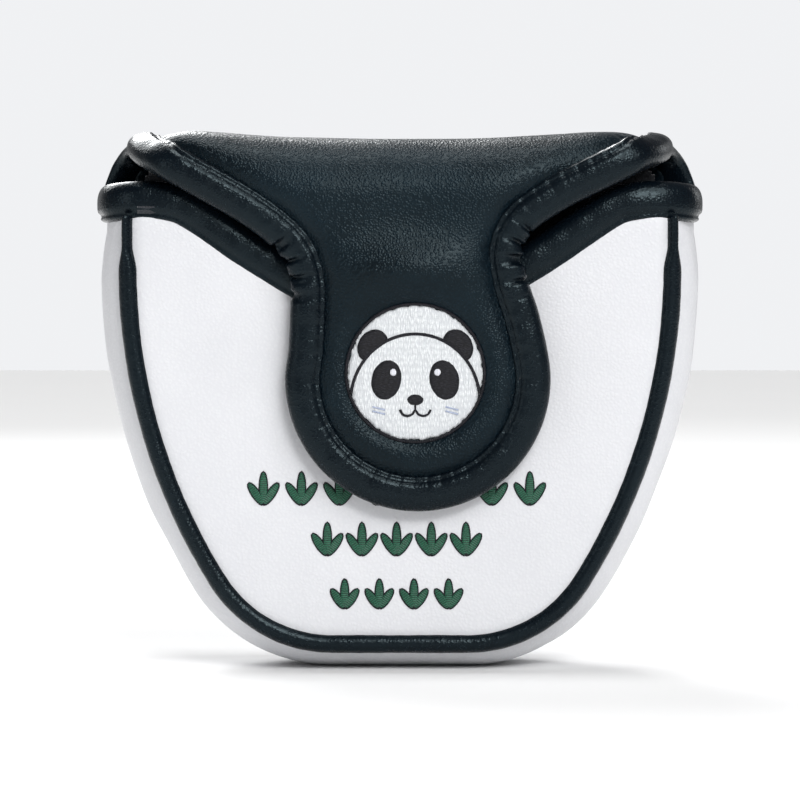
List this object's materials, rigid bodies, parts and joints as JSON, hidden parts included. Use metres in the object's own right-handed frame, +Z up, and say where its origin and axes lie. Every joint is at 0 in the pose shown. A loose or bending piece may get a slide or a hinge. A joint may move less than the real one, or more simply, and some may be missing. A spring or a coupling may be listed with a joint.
{
  "type": "putter head cover",
  "caption": "Padded leather pouch for a mallet putter head, with a bulged side band, piped edges, an embroidered animal face and a magnetic fold-over flap.",
  "frame": {"origin": "centre of the bounding box at its bottom, which is the level of the side band's underside", "axes": "+X along the width, -Y towards the embroidered face side, +Y towards the flap's closing side, +Z up"},
  "size_m": [0.145, 0.048, 0.1285],
  "materials": {
    "black_leather": "pebbled synthetic leather, semi-gloss",
    "white_leather": "fine-grained synthetic leather, satin",
    "pebbled_white_leather": "pebbled synthetic leather, satin",
    "plush_lining": "short velour pile",
    "foam": "open-cell foam sheet",
    "magnet": "nickel-plated",
    "black_thread": "fill-stitched polyester thread",
    "white_thread": "satin-stitched polyester thread",
    "pale_satin_thread": "satin-stitched polyester thread",
    "pale_blue_thread": "fill-stitched polyester thread",
    "green_thread": "run-stitched polyester thread",
    "dark_green_thread": "satin-stitched polyester thread"
  },
  "bodies": {
    "pouch": {"back_foam": "foam", "back_lining": "plush_lining", "back_magnet": "magnet", "back_panel": "white_leather", "back_piping": "black_leather", "bamboo_leaves": "green_thread", "bamboo_stalk": "green_thread", "cheek_left": "pale_blue_thread", "cheek_right": "pale_blue_thread", "ear_left": "black_leather", "ear_left_outline": "white_thread", "ear_right": "black_leather", "ear_right_outline": "white_thread", "eye_left": "black_thread", "eye_right": "black_thread", "face_border": "pale_satin_thread", "face_patch": "pebbled_white_leather", "front_foam": "foam", "front_lining": "plush_lining", "front_panel": "black_leather", "front_piping": "black_leather", "gusset": "white_leather", "gusset_lining": "plush_lining", "highlight_left": "white_thread", "highlight_right": "white_thread", "mouth": "black_thread", "mouth_binding": "black_leather", "mouth_stitching": "black_thread", "nose": "black_thread", "sprigs_lower": "dark_green_thread", "sprigs_middle": "dark_green_thread", "sprigs_upper": "dark_green_thread"},
    "flap": {"badge_cheeks": "pale_blue_thread", "badge_disc": "white_thread", "badge_ears": "black_thread", "badge_eyes": "black_thread", "badge_head": "black_thread", "badge_highlights": "white_thread", "badge_mouth": "black_thread", "badge_nose": "black_thread", "badge_rim": "black_thread", "flap_binding": "black_leather", "flap_foam": "foam", "flap_lining": "plush_lining", "flap_magnet": "magnet", "flap_shell": "black_leather", "flap_stitching": "black_thread"}
  },
  "joints": [
    {"name": "flap_fold", "type": "hinge", "parent": "pouch", "child": "flap", "pos_m": [0, -0.0224, 0.11615], "axis": [1, 0, 0], "range_deg": [0, 140]}
  ]
}
